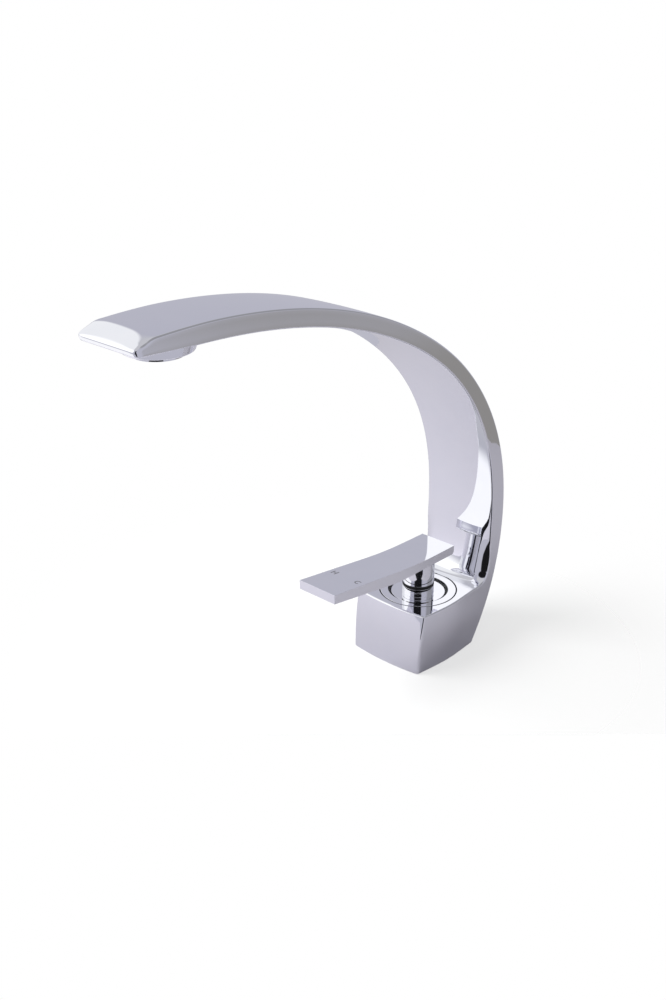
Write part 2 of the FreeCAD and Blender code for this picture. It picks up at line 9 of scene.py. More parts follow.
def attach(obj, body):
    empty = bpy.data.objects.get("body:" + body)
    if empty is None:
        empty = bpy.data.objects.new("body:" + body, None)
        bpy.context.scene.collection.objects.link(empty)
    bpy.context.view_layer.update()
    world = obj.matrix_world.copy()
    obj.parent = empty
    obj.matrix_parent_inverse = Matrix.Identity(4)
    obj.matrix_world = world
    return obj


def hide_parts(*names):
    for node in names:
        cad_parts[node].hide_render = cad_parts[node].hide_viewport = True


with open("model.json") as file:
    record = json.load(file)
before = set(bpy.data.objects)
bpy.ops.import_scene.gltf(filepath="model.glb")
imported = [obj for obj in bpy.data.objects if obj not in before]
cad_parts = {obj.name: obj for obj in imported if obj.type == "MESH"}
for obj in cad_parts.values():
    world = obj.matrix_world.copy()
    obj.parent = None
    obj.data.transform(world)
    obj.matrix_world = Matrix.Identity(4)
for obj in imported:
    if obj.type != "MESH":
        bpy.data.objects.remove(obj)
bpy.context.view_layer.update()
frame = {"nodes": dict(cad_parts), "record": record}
print("frame loaded:", len(frame["nodes"]), "nodes")

mm = 0.001  # pieces are modelled in millimetres and scaled once, at the end
turnedSteps = 128  # round pieces that are seen close up


def onSide(y, z):
    return Vector((0, y, z))  # a point in the tap's plane of symmetry


def eased(value, low, high):
    share = min(1.0, max(0.0, (value - low) / (high - low)))
    return share * share * (3 - 2 * share)


def humped(share):
    return 4 * share * (1 - share)  # nothing at both ends, 1 half way


def edgesAmong(verts, edges):
    return [e for e in edges if e.verts[0] in verts and e.verts[1] in verts]


def extrudeLine(bm, edges):
    # gives the new line's vertices and edges, without the edges that lead to it
    made = bmesh.ops.extrude_edge_only(bm, edges=edges)["geom"]
    verts = [g for g in made if isinstance(g, bmesh.types.BMVert)]
    return verts, edgesAmong(verts, [g for g in made if isinstance(g, bmesh.types.BMEdge)])


def extrudeFaces(bm, shift):
    made = bmesh.ops.extrude_face_region(bm, geom=bm.faces[:])["geom"]
    bmesh.ops.translate(bm, vec=shift, verts=[g for g in made if isinstance(g, bmesh.types.BMVert)])


def ladderSheet(bm, rungs, shares):
    # one rung of edges is extruded from station to station
    # "share" runs along a rung, "station" along the sheet
    shareLayer = bm.verts.layers.float.new("share")
    stationLayer = bm.verts.layers.float.new("station")
    chain = [bm.verts.new() for share in shares]
    for vert, share in zip(chain, shares):
        vert[shareLayer] = share
    edges = [bm.edges.new(pair) for pair in zip(chain, chain[1:])]
    for station, (start, end) in enumerate(rungs):
        if station > 0:
            chain, edges = extrudeLine(bm, edges)
        for vert in chain:
            vert[stationLayer] = station
            vert.co = start.lerp(end, vert[shareLayer])
    return shareLayer, stationLayer


def thickenAcross(bm, cuts):
    # the sheet becomes a closed block from x -1 to x +1, to be given its real width afterwards
    bmesh.ops.translate(bm, vec=(-1, 0, 0), verts=bm.verts[:])
    extrudeFaces(bm, (2, 0, 0))
    across = [e for e in bm.edges if abs(e.verts[0].co.x - e.verts[1].co.x) > 1]
    bmesh.ops.subdivide_edges(bm, edges=across, cuts=cuts, use_grid_fill=True)


def spinRing(bm, profile, steps, centre=(0, 0, 0)):
    # profile of (radius, height) corners, closed, turned about the vertical through the centre
    corners = [bm.verts.new((radius, 0, height)) for radius, height in profile]
    sides = zip(corners, corners[1:] + corners[:1])
    edges = [bm.edges.new(pair) for pair in sides if max(pair[0].co.x, pair[1].co.x) > 0]  # none along the axis
    others = set(bm.verts) - set(corners)
    bmesh.ops.spin(bm, geom=corners + edges, cent=(0, 0, 0), axis=(0, 0, 1),
                   angle=2 * math.pi, steps=steps, use_merge=True)
    bmesh.ops.remove_doubles(bm, verts=[v for v in bm.verts if v not in others], dist=0.001)
    bmesh.ops.translate(bm, vec=centre, verts=[v for v in bm.verts if v not in others])
    bmesh.ops.recalc_face_normals(bm, faces=bm.faces[:])


def softenEdges(bm, width, segments, where=None):
    # rounds the edges that turn by more than the crease, or those of them that "where" picks
    bm.normal_update()
    crease = math.radians(38)
    sharp = [e for e in bm.edges if e.is_manifold and e.calc_face_angle() > crease]
    if where:
        sharp = [e for e in sharp if where(e)]
    bmesh.ops.bevel(bm, geom=sharp, offset=width, offset_type='OFFSET', affect='EDGES', segments=segments,
                    profile=0.5, material=-1, clamp_overlap=True)


def finishPiece(bm, name, materials, body, nodes):
    # closes the mesh, shades it smooth up to the crease and hands it to its body
    crease = math.radians(50)
    bmesh.ops.remove_doubles(bm, verts=bm.verts[:], dist=0.0005)
    bmesh.ops.recalc_face_normals(bm, faces=bm.faces[:])
    for face in bm.faces:
        face.smooth = True
    for edge in bm.edges:
        edge.smooth = not edge.is_manifold or edge.calc_face_angle() < crease
    bmesh.ops.scale(bm, vec=(mm, mm, mm), verts=bm.verts[:])
    openEdges = sum(not e.is_manifold for e in bm.edges)
    mesh = bpy.data.meshes.new(name)
    bm.to_mesh(mesh)
    bm.free()
    for material in materials:
        mesh.materials.append(material)
    piece = bpy.data.objects.new(name, mesh)
    bpy.context.collection.objects.link(piece)
    normals = piece.modifiers.new("flat faces stay flat", 'WEIGHTED_NORMAL')
    normals.keep_sharp = True
    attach(piece, body)
    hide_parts(*nodes)
    print("piece", name, len(mesh.polygons), "faces,", openEdges, "open edges")


def hexColour(code):
    channels = [int(code[i:i + 2], 16) / 255 for i in (0, 2, 4)]
    linear = [c / 12.92 if c <= 0.04045 else ((c + 0.055) / 1.055) ** 2.4 for c in channels]
    return (*linear, 1.0)


def linkInto(tree, node, links):
    for key, source in links.items():
        tree.links.new(source, node.inputs[key])


def addNode(tree, kind, settings=None, links=None):
    # keys that are numbers or start with a capital are sockets, the others the node's own settings
    node = tree.nodes.new(kind)
    for key, value in (settings or {}).items():
        if isinstance(key, int) or key[0].isupper():
            node.inputs[key].default_value = value
        else:
            setattr(node, key, value)
    linkInto(tree, node, links or {})
    return node


def newFinish(name, settings):
    material = bpy.data.materials.new(name)
    material.use_nodes = True
    tree = material.node_tree
    shader = tree.nodes["Principled BSDF"]
    for key, value in settings.items():
        shader.inputs[key].default_value = value
    place = addNode(tree, 'ShaderNodeTexCoord').outputs["Object"]
    return material, tree, shader, place


def perMetre(sizeMm):
    return 1 / (sizeMm * mm)  # texture scale for a pattern of that size


def polishedChrome():
    # bright nickel-chrome plate on buffed brass: a mirror with a faint wipe haze and the buffing's slow ripple
    material, tree, shader, place = newFinish("polished_chrome_plate", {"Metallic": 1.0})
    haze = addNode(tree, 'ShaderNodeTexNoise', {"Scale": perMetre(11), "Detail": 4.0}, {"Vector": place})
    gloss = addNode(tree, 'ShaderNodeMapRange', {"From Min": 0.35, "From Max": 0.7, "To Min": 0.025, "To Max": 0.05},
                    {"Value": haze.outputs["Fac"]})
    tint = addNode(tree, 'ShaderNodeMix', {"data_type": 'RGBA', 6: hexColour("F4F4F7"), 7: hexColour("EFF0F5")},
                   {0: haze.outputs["Fac"]})
    ripple = addNode(tree, 'ShaderNodeTexNoise', {"Scale": perMetre(14), "Detail": 1.0}, {"Vector": place})
    bump = addNode(tree, 'ShaderNodeBump', {"Strength": 0.06, "Distance": 0.05 * mm},
                   {"Height": ripple.outputs["Fac"]})
    linkInto(tree, shader, {"Base Color": tint.outputs[2], "Roughness": gloss.outputs["Result"],
                            "Normal": bump.outputs["Normal"]})
    return material


def turnedBrass():
    # free-cutting brass off the lathe: warm, with fine tool rings round the vertical axis
    material, tree, shader, place = newFinish("turned_brass", {"Metallic": 1.0})
    rings = addNode(tree, 'ShaderNodeTexWave', {"wave_type": 'RINGS', "rings_direction": 'Z', "Scale": perMetre(4),
                                                "Distortion": 0.4, "Detail": 2.0}, {"Vector": place})
    gloss = addNode(tree, 'ShaderNodeMapRange', {"To Min": 0.2, "To Max": 0.34}, {"Value": rings.outputs["Fac"]})
    tint = addNode(tree, 'ShaderNodeMix', {"data_type": 'RGBA', 6: hexColour("D9BC72"), 7: hexColour("C9A85C")},
                   {0: rings.outputs["Fac"]})
    bump = addNode(tree, 'ShaderNodeBump', {"Strength": 0.15, "Distance": 0.04 * mm},
                   {"Height": rings.outputs["Fac"]})
    linkInto(tree, shader, {"Base Color": tint.outputs[2], "Roughness": gloss.outputs["Result"],
                            "Normal": bump.outputs["Normal"]})
    return material


def brushedSteel():
    # stainless steel with a fine brushed grain; the grain is drawn at 0.4 mm so that it shows
    material, tree, shader, place = newFinish("brushed_stainless_steel", {"Metallic": 1.0})
    along = addNode(tree, 'ShaderNodeMapping', {"Scale": (1.0, 0.08, 1.0)}, {"Vector": place})
    grain = addNode(tree, 'ShaderNodeTexNoise', {"Scale": perMetre(0.4), "Detail": 3.0},
                    {"Vector": along.outputs["Vector"]})
    gloss = addNode(tree, 'ShaderNodeMapRange', {"To Min": 0.2, "To Max": 0.42}, {"Value": grain.outputs["Fac"]})
    tint = addNode(tree, 'ShaderNodeMix', {"data_type": 'RGBA', 6: hexColour("C6C7CA"), 7: hexColour("AEAFB3")},
                   {0: grain.outputs["Fac"]})
    linkInto(tree, shader, {"Base Color": tint.outputs[2], "Roughness": gloss.outputs["Result"]})
    return material


def mouldedFinish(name, light, dark, roughness, grainMm, bumpStrength):
    # a moulded or lapped surface: two close tones and a soft grain
    material, tree, shader, place = newFinish(name, {})
    grain = addNode(tree, 'ShaderNodeTexNoise', {"Scale": perMetre(grainMm), "Detail": 5.0, "Roughness": 0.6},
                    {"Vector": place})
    gloss = addNode(tree, 'ShaderNodeMapRange', {"To Min": roughness - 0.06, "To Max": roughness + 0.08},
                    {"Value": grain.outputs["Fac"]})
    tint = addNode(tree, 'ShaderNodeMix', {"data_type": 'RGBA', 6: hexColour(light), 7: hexColour(dark)},
                   {0: grain.outputs["Fac"]})
    bump = addNode(tree, 'ShaderNodeBump', {"Strength": bumpStrength, "Distance": 0.05 * mm},
                   {"Height": grain.outputs["Fac"]})
    linkInto(tree, shader, {"Base Color": tint.outputs[2], "Roughness": gloss.outputs["Result"],
                            "Normal": bump.outputs["Normal"]})
    return material


finishes = {
    "chrome": polishedChrome(),
    "brass": turnedBrass(),
    "steel": brushedSteel(),
    # EPDM, moulded: black with a dull bloom
    "rubber": mouldedFinish("moulded_epdm_rubber", "1C1C1D", "121213", 0.62, 0.6, 0.25),
    # glass-filled nylon: near black, a little glossier, with a coarser skin
    "black_nylon": mouldedFinish("glass_filled_nylon", "161617", "0D0D0E", 0.45, 0.9, 0.2),
    # lapped alumina: warm white and almost glossy
    "ceramic": mouldedFinish("lapped_alumina_ceramic", "F2EFE9", "E9E5DE", 0.22, 0.5, 0.05),
    # acetal: milky white, waxy sheen
    "white_plastic": mouldedFinish("moulded_white_acetal", "E9E8E4", "DFDEDA", 0.38, 1.2, 0.1),
    # two-part paint wiped into an engraved mark: dark grey, dull
    "mark": mouldedFinish("filled_mark_paint", "77777D", "66666C", 0.5, 0.3, 0.15),
}
for subpart in frame["record"]["subparts"]:
    node = frame["nodes"][subpart["node"]]
    node.data.materials.clear()
    node.data.materials.append(finishes[subpart["material_slot"]])
print("finishes made:", len(finishes))


casting = {
    # base: front face, corners and the turn from deck to riser
    "deckHeight": 38.2,
    "footFront": 31.4,
    "frontLean": 3.6,
    "frontBow": 2.3,
    "frontCorner": 1.0,
    "frontCornerRun": 8.0,
    "deckFillet": 9.0,
    "deckJoin": 7.5,
    "deckJoinShares": (0.33, 0.67, 1.0),
    "rearLift": 2.0,
    # half widths from the foot up to the spout, and the sides' bulge
    "footHalfWidth": 26.9,
    "deckHalfWidth": 28.05,
    "riserHalfWidth": 25.0,
    "spoutHalfWidth": 20.8,
    "riserStart": 95.0,
    "riserEnd": 185.0,
    "sideBulge": 2.2,
    "bulgeSpan": 30.0,
    "bulgeForward": 3.0,
    # outline of the arch, seen from the side: two ovals, then the beak
    "outer": {"y": -188.0, "z": 82.4, "depth": 238.2, "rise": 166.1, "power": 2.13},
    "inner": {"y": -194.0, "z": 81.3, "depth": 232.3, "rise": 156.7, "power": 2.25},
    "crown": 248.5,
    "lipTop": onSide(-219.6, 242.2),
    "lipBottom": onSide(-218.4, 239.2),
    "bevelY": -205.1,
    "bevelCrown": 2.0,
    "beakY": -184.6,
    "underBevelShare": 0.45,  # how far along the beak's underside the bevel reaches
    # soft crowns and roundings, with the y or z between which each comes in
    "edgeRadius": 0.9,
    "edgeSegments": 4,
    "innerCrown": 2.2,
    "innerCrownY": (-190.0, -60.0),
    "innerTurnZ": (70.0, 110.0),
    "edgeDrop": 3.2,
    "edgeDropShare": 0.25,
    "edgeDropZ": (48.0, 72.0),
    "topCrown": 0.9,
    "topCrownY": (-150.0, 20.0),
    "topCrownZ": (120.0, 220.0),
    "bevelDrop": 1.2,
    "bevelDropShare": 0.6,
    "bevelDropRun": 1.9,
    "noseCorner": 2.6,
    "lipBulge": 0.1,
    # openings for the ring, the inlet block, the gasket and the aerator
    "recessRadius": 24.0,
    "recessFloor": 30.0,
    "footHole": 15.7,
    "gasketY": -4.3,
    "gasketOuter": 22.6,
    "gasketInner": 20.8,
    "gasketDepth": 2.1,
    "footHoleTop": 10.0,
    "bossY": -190.5,
    "bossFootRadius": 16.9,
    "bossRadius": 19.5,
    "bossEdge": 0.9,
    "bossSegments": 5,
    "bossBore": 11.9,
    "bossFoot": 232.95,
    "bossTop": 240.5,
    # how finely it is divided
    "rungShares": (0.0, 0.3, 0.5, 0.7, 1.0),
    "bevelSteps": 8,
    "spoutSteps": 4,
    "archSteps": 72,
    "filletSteps": 6,
    "deckSteps": 11,
    "acrossCuts": 17,
    "edgeCrowding": 0.5,
    "roundSteps": 96,
}


def ovalPoint(oval, angle):
    cosine, sine = math.cos(angle), math.sin(angle)
    share = abs(cosine / oval["depth"]) ** oval["power"] + abs(sine / oval["rise"]) ** oval["power"]
    radius = share ** (-1 / oval["power"])
    return onSide(oval["y"] + radius * cosine, oval["z"] + radius * sine)


def ovalTop(oval, y):
    reach = 1 - abs((y - oval["y"]) / oval["depth"]) ** oval["power"]
    return onSide(y, oval["z"] + oval["rise"] * reach ** (1 / oval["power"]))


def ovalRear(oval, z):
    reach = 1 - abs((z - oval["z"]) / oval["rise"]) ** oval["power"]
    return onSide(oval["y"] + oval["depth"] * reach ** (1 / oval["power"]), z)


def ovalAngle(oval, point):
    return math.atan2(point.z - oval["z"], point.y - oval["y"])


def castingHalfWidth(y, z):
    c = casting
    spread = c["deckHalfWidth"] - c["footHalfWidth"]
    lower = c["footHalfWidth"] + spread * eased(z, -c["deckHeight"], c["deckHeight"])
    middle = lower + (c["riserHalfWidth"] - lower) * eased(z, c["deckHeight"], c["riserStart"])
    width = middle + (c["spoutHalfWidth"] - middle) * eased(z, c["riserEnd"], c["crown"])
    across = (y + c["bulgeForward"]) / c["bulgeSpan"]
    fall = 2 * c["sideBulge"] * across ** 2 / (1 + across ** 2)
    return width - fall * (1 - eased(z, c["deckHeight"], c["riserStart"]))


def deckFilletArc():
    # where the deck turns up into the riser's inner face
    c = casting
    radius = c["deckFillet"]
    foot = c["deckHeight"] + radius
    step = 0.1
    for _ in range(6):  # the riser leans, so the height where the arc meets it is found in a few rounds
        lean = math.atan2(ovalRear(c["inner"], foot + step).y - ovalRear(c["inner"], foot - step).y, 2 * step)
        foot = c["deckHeight"] + radius * (1 - math.sin(lean))
    start = ovalRear(c["inner"], foot)
    centre = start + onSide(-math.cos(lean), math.sin(lean)) * radius
    angles = [-lean + (lean - math.pi / 2) * i / c["filletSteps"] for i in range(c["filletSteps"] + 1)]
    return [centre + onSide(math.cos(a), math.sin(a)) * radius for a in angles]


def castingRungs():
    # pairs of points on the outer and inner outline, from the beak's lip round to the base's front
    c = casting
    outer, inner = c["outer"], c["inner"]
    bevelTop, beakRear = ovalTop(outer, c["bevelY"]), ovalTop(inner, c["beakY"])
    chord = bevelTop - c["lipTop"]
    bulge = onSide(-chord.z, chord.y).normalized() * c["bevelCrown"]
    underBevel = c["underBevelShare"]
    rungs = []
    for i in range(c["bevelSteps"] + 1):
        share = i / c["bevelSteps"]
        top = c["lipTop"].lerp(bevelTop, share) + bulge * humped(share)
        rungs.append((top, c["lipBottom"].lerp(beakRear, share * underBevel)))
    for i in range(1, c["spoutSteps"] + 1):
        share = i / c["spoutSteps"]
        top = ovalTop(outer, c["bevelY"] + (c["beakY"] - c["bevelY"]) * share)
        rungs.append((top, c["lipBottom"].lerp(beakRear, underBevel + (1 - underBevel) * share)))
    fillet = deckFilletArc()
    rearEnd = ovalRear(outer, fillet[0].z + c["rearLift"])
    starts = ovalAngle(outer, rungs[-1][0]), ovalAngle(inner, beakRear)
    ends = ovalAngle(outer, rearEnd), ovalAngle(inner, fillet[0])
    for i in range(1, c["archSteps"] + 1):
        share = i / c["archSteps"]
        outerAngle, innerAngle = (a + (b - a) * share for a, b in zip(starts, ends))
        rungs.append((ovalPoint(outer, outerAngle), ovalPoint(inner, innerAngle)))
    deckStart = fillet[-1]
    deckJoin = onSide(deckStart.y - c["deckJoin"], c["deckHeight"])
    turn = fillet[1:] + [deckStart.lerp(deckJoin, share) for share in c["deckJoinShares"]]
    for i, point in enumerate(turn):
        rungs.append((ovalRear(outer, rearEnd.z * (1 - (i + 1) / len(turn))), point))
    footRear, footNose = rungs[-1][0], onSide(-c["footFront"], 0)
    deckNose = onSide(c["frontLean"] - c["footFront"], c["deckHeight"])
    for i in range(1, c["deckSteps"] + 1):
        share = i / c["deckSteps"]
        rungs.append((footRear.lerp(footNose, share), deckJoin.lerp(deckNose, share)))
    return rungs


def circleIn(bm, radius, y, z):
    made = bmesh.ops.create_circle(bm, cap_ends=False, radius=radius, segments=casting["roundSteps"],
                                   matrix=Matrix.Translation((0, y, z)))
    return edgesAmong(made["verts"], bm.edges)


def sinkLoop(bm, edges, depth):
    verts, loop = extrudeLine(bm, edges)
    bmesh.ops.translate(bm, vec=(0, 0, depth), verts=verts)
    return loop


def fillBetween(bm, loops):
    bmesh.ops.triangle_fill(bm, use_beauty=True, use_dissolve=False, edges=loops)


def openFlat(bm, up, height):
    # takes the flat faces at that height away and gives the loop round the gap
    bm.normal_update()
    flat = [f for f in bm.faces if f.normal.z * up > 0.9999 and abs(f.calc_center_median().z - height) < 0.02]
    bmesh.ops.delete(bm, geom=flat, context='FACES')
    return [e for e in bm.edges if e.is_boundary]


def innerCrown(across, station, share, y, z, filletEnd, deckStart):
    # the arch's inner face is softly crowned across, and its edges fall away just above the deck
    c = casting
    crown = c["innerCrown"] * (1 - across ** 2) * eased(y, *c["innerCrownY"])
    low = 1 - eased(z, *c["edgeDropZ"])
    start = 1 - c["edgeDropShare"]
    drop = c["edgeDrop"] * low * max(0.0, (abs(across) - start) / c["edgeDropShare"]) ** 2
    inwards = onSide(c["inner"]["y"] - y, (c["inner"]["z"] - z) * eased(z, *c["innerTurnZ"])).normalized()
    return inwards * (crown - drop) * share * (1 - eased(station, filletEnd, deckStart))


def topCrown(across, station, share, y, z):
    # the spout's top and bevel are softly crowned across, and the bevel's sides fall away
    c = casting
    crown = c["topCrown"] * across ** 2 * (1 - eased(y, *c["topCrownY"])) * eased(z, *c["topCrownZ"])
    side = max(0.0, abs(across) - 1 + c["bevelDropShare"]) / c["bevelDropShare"]
    drop = c["bevelDrop"] * side ** 2 * (1 - eased(station, 0, c["bevelDropRun"] * c["bevelSteps"]))
    return onSide(0, -(crown + drop) * eased(station, 0, c["bevelSteps"] / 2) * (1 - share))


def frontBow(x):
    return casting["frontBow"] * (x / casting["footHalfWidth"]) ** 2


def roundInPlan(bm):
    # the beak's two front corners and the base's are rounded as seen from above
    c = casting
    beakRun = c["bevelY"] - c["lipTop"].y
    for vert in bm.verts:
        x, y, z = vert.co
        if z > c["riserEnd"]:
            radius, behind = c["noseCorner"], (y - c["lipTop"].y) / beakRun
        elif z > c["deckHeight"]:
            continue
        else:
            front = c["frontLean"] * (z / c["deckHeight"]) ** 2 + frontBow(x) - c["footFront"]
            radius, behind = c["frontCorner"], (y - front) / c["frontCornerRun"]
        inside = min(radius, max(0.0, castingHalfWidth(y, z) - abs(x)))
        corner = radius - math.sqrt(radius ** 2 - (radius - inside) ** 2)
        vert.co.y += corner * min(1.0, max(0.0, 1 - behind))


def onBossRim(edge):
    # the outer of the two edges round the boss's foot
    atFoot = all(abs(v.co.z - casting["bossFoot"]) < 0.01 for v in edge.verts)
    x, y, z = edge.verts[0].co
    return atFoot and math.hypot(y - casting["bossY"], x) > casting["bossBore"] + 1


def castingMesh():
    c = casting
    bm = bmesh.new()
    rungs = castingRungs()
    shareLayer, stationLayer = ladderSheet(bm, rungs, c["rungShares"])
    thickenAcross(bm, c["acrossCuts"])
    last = len(rungs) - 1
    deckStart = last - c["deckSteps"]
    filletEnd = deckStart - len(c["deckJoinShares"])
    crowd = c["edgeCrowding"] * math.pi / 2  # rows across lie closer towards the sides
    for vert in bm.verts:
        vert.co.x = math.sin(vert.co.x * crowd) / math.sin(crowd)
        across, y, z = vert.co
        share, station = vert[shareLayer], vert[stationLayer]
        shift = innerCrown(across, station, share, y, z, filletEnd, deckStart)
        shift += topCrown(across, station, share, y, z)
        across, y, z = vert.co + shift
        y -= humped(share) * c["lipBulge"] * max(0.0, 1 - station)
        front = eased(station, deckStart, last)
        y += front * (frontBow(across * castingHalfWidth(y, z)) + c["frontLean"] * (share * share - share))
        vert.co = (across * castingHalfWidth(y, z), y, z)
    bmesh.ops.recalc_face_normals(bm, faces=bm.faces[:])
    softenEdges(bm, c["edgeRadius"], c["edgeSegments"])
    roundInPlan(bm)

    # round recess in the deck for the trim ring
    gap = openFlat(bm, 1, c["deckHeight"])
    rim = circleIn(bm, c["recessRadius"], 0, c["deckHeight"])
    bmesh.ops.bridge_loops(bm, edges=gap + rim)
    before = set(bm.faces)
    wall = sinkLoop(bm, rim, c["recessFloor"] - c["deckHeight"])
    bmesh.ops.edgeloop_fill(bm, edges=wall)
    for face in set(bm.faces) - before:
        face.material_index = 1  # painted shade: the recess's wall and floor take black rubber in place of the shade trapped in the gap, which shows as a thin dark line round the ring

    # foot: a groove for the gasket round the hole for the inlet block
    gap = openFlat(bm, -1, 0)
    ring = circleIn(bm, c["gasketOuter"], c["gasketY"], 0)
    fillBetween(bm, gap + ring)
    ring = sinkLoop(bm, ring, c["gasketDepth"])
    inside = circleIn(bm, c["gasketInner"], c["gasketY"], c["gasketDepth"])
    fillBetween(bm, ring + inside)
    ring = sinkLoop(bm, inside, -c["gasketDepth"])
    hole = circleIn(bm, c["footHole"], 0, 0)
    fillBetween(bm, ring + hole)
    wall = sinkLoop(bm, hole, c["footHoleTop"])
    bmesh.ops.edgeloop_fill(bm, edges=wall)

    # round boss under the beak for the aerator
    spinRing(bm, [(c["bossBore"], c["bossFoot"]), (c["bossFootRadius"], c["bossFoot"]),
                  (c["bossRadius"], c["bossTop"]), (c["bossBore"], c["bossTop"])],
             c["roundSteps"], (0, c["bossY"], 0))
    softenEdges(bm, c["bossEdge"], c["bossSegments"], where=onBossRim)
    return bm


finishPiece(castingMesh(), "tap_casting", [finishes["chrome"], finishes["rubber"]], "tap_body",
            ["body_casting"])


lever = {
    "rear": 18.2,
    "reach": 89.0,
    "rearHalfWidth": 12.5,
    "tipHalfWidth": 13.6,
    "underside": 59.7,
    "top": 65.1,
    "topBend": {"start": 0.0, "radius": 330.0, "deg": 6.1},
    "underBend": {"start": -26.0, "radius": 120.0, "deg": 7.8},
    "tailRadius": 2.0,
    "tailSteps": 6,
    "hubRear": 8.0,
    "bendReach": 42.0,
    "bendSteps": 14,
    "tipSteps": 7,
    "rungShares": (0.0, 0.3, 0.7, 1.0),
    "edgeRadius": 0.7,
    "edgeSegments": 4,
    "hubRadius": 9.75,
    "hubBore": 7.6,
    "hubFoot": 43.9,
    "boreFoot": 45.4,
    "boreRoof": 56.7,
    "hubTop": 62.0,
    "hubEdge": 0.25,
    "acrossCuts": 7,
}


def bentHeight(y, base, bend):
    forward = bend["start"] - y
    turn = math.radians(bend["deg"])
    run = bend["radius"] * math.sin(turn)
    if forward <= 0:
        return base
    if forward < run:
        return base + bend["radius"] - math.sqrt(bend["radius"] ** 2 - forward ** 2)
    return base + bend["radius"] * (1 - math.cos(turn)) + math.tan(turn) * (forward - run)


def leverTop(y):
    return bentHeight(y, lever["top"], lever["topBend"])


def leverMesh():
    bar = lever
    bm = bmesh.new()
    rungs = []
    for i in range(bar["tailSteps"]):  # the tail's underside is rounded up to its end
        turn = math.pi / 2 * (1 - i / bar["tailSteps"])
        y = bar["rear"] - bar["tailRadius"] * (1 - math.sin(turn))
        under = bar["underside"] + bar["tailRadius"] * (1 - math.cos(turn))
        rungs.append((onSide(y, leverTop(y)), onSide(y, under)))
    bend = bar["bendReach"]
    spots = [bar["rear"] - bar["tailRadius"], bar["hubRear"]]
    spots += [-bend * i / bar["bendSteps"] for i in range(bar["bendSteps"])]
    spots += [-bend + (bend - bar["reach"]) * i / bar["tipSteps"] for i in range(bar["tipSteps"] + 1)]
    for y in spots:
        rungs.append((onSide(y, leverTop(y)), onSide(y, bentHeight(y, bar["underside"], bar["underBend"]))))
    ladderSheet(bm, rungs, bar["rungShares"])
    thickenAcross(bm, bar["acrossCuts"])
    for vert in bm.verts:
        share = (bar["rear"] - vert.co.y) / (bar["rear"] + bar["reach"])
        vert.co.x *= bar["rearHalfWidth"] + (bar["tipHalfWidth"] - bar["rearHalfWidth"]) * share
    bmesh.ops.recalc_face_normals(bm, faces=bm.faces[:])
    softenEdges(bm, bar["edgeRadius"], bar["edgeSegments"])
    spinRing(bm, [(0, bar["boreRoof"]), (bar["hubBore"], bar["boreRoof"]), (bar["hubBore"], bar["boreFoot"]),
                  (bar["hubRadius"], bar["hubFoot"]), (bar["hubRadius"], bar["hubTop"]), (0, bar["hubTop"])],
             turnedSteps)
    softenEdges(bm, bar["hubEdge"], 2, where=lambda e: max(v.co.z for v in e.verts) < bar["hubFoot"] + 0.1)
    return bm


finishPiece(leverMesh(), "lever_bar", [finishes["chrome"]], "lever", ["lever_handle"])


# profiles of (radius, height) corners
turned = {
    "deck_trim_ring": {"node": "trim_ring", "slot": "chrome", "edge": 0.2, "segments": 3, "profile": [
        (18.4, 35.2), (23.25, 35.2), (23.25, 38.2), (18.4, 38.2)]},
    # the collar has a fine V groove half way up
    "cover_disc": {"node": "cover_cap", "slot": "chrome", "edge": 0.3, "segments": 3, "profile": [
        (14.5, 33.2), (16.5, 33.2), (16.5, 36.9), (9.75, 36.9), (9.75, 39.2), (9.5, 39.4), (9.75, 39.6),
        (9.75, 41.8), (7.4, 41.8), (7.4, 35.1), (14.5, 35.1)]},
    "spindle_wiper": {"node": "wiper_ring", "slot": "rubber", "edge": 0.2, "segments": 2, "profile": [
        (7.3, 41.8), (9.65, 41.8), (9.65, 43.55), (8.6, 44.35), (7.3, 45.15)]},
    "aerator_ring": {"node": "aerator_housing", "slot": "chrome", "edge": 0.3, "segments": 3, "profile": [
        (9.1, 230.98), (12.6, 230.98), (12.6, 232.92), (11.8, 232.92), (11.8, 237.7), (10.0, 237.7),
        (10.0, 231.48), (9.1, 231.48)], "centre": (0, casting["bossY"], 0)},
}
for name, ring in turned.items():
    bm = bmesh.new()
    spinRing(bm, ring["profile"], turnedSteps, ring.get("centre", (0, 0, 0)))
    softenEdges(bm, ring["edge"], ring["segments"])
    finishPiece(bm, name, [finishes[ring["slot"]]], "tap_body", [ring["node"]])


screwCap = {"radius": 1.95, "height": 50.3, "rim": 0.04, "dome": 0.16, "depth": 1.2, "rings": 5, "steps": 48}


def screwCapMesh():
    # a domed plug that follows the hub's round at its rear
    cap = screwCap
    bm = bmesh.new()
    profile = [(0, -cap["depth"]), (cap["radius"], -cap["depth"])]
    for i in range(cap["rings"] + 1):
        share = 1 - i / cap["rings"]
        profile.append((cap["radius"] * share, cap["rim"] + (cap["dome"] - cap["rim"]) * (1 - share * share)))
    spinRing(bm, profile, cap["steps"])
    bmesh.ops.rotate(bm, cent=(0, 0, 0), matrix=Matrix.Rotation(-math.pi / 2, 3, 'X'), verts=bm.verts[:])
    for vert in bm.verts:
        vert.co.y += math.sqrt(lever["hubRadius"] ** 2 - vert.co.x ** 2)
        vert.co.z += cap["height"]
    return bm


finishPiece(screwCapMesh(), "lever_screw_cap", [finishes["chrome"]], "lever", ["screw_cap"])

marks = {"side": 9.0, "y": -65.0, "height": 4.2, "width": 3.4, "stroke": 0.8, "sink": 0.3, "proud": 0.03,
         "openingDeg": 48, "steps": 40}


def markPlace(side):
    slope = Matrix.Rotation(-math.radians(lever["topBend"]["deg"]), 4, 'X')
    return Matrix.Translation((side, marks["y"], leverTop(marks["y"]) + marks["proud"])) @ slope


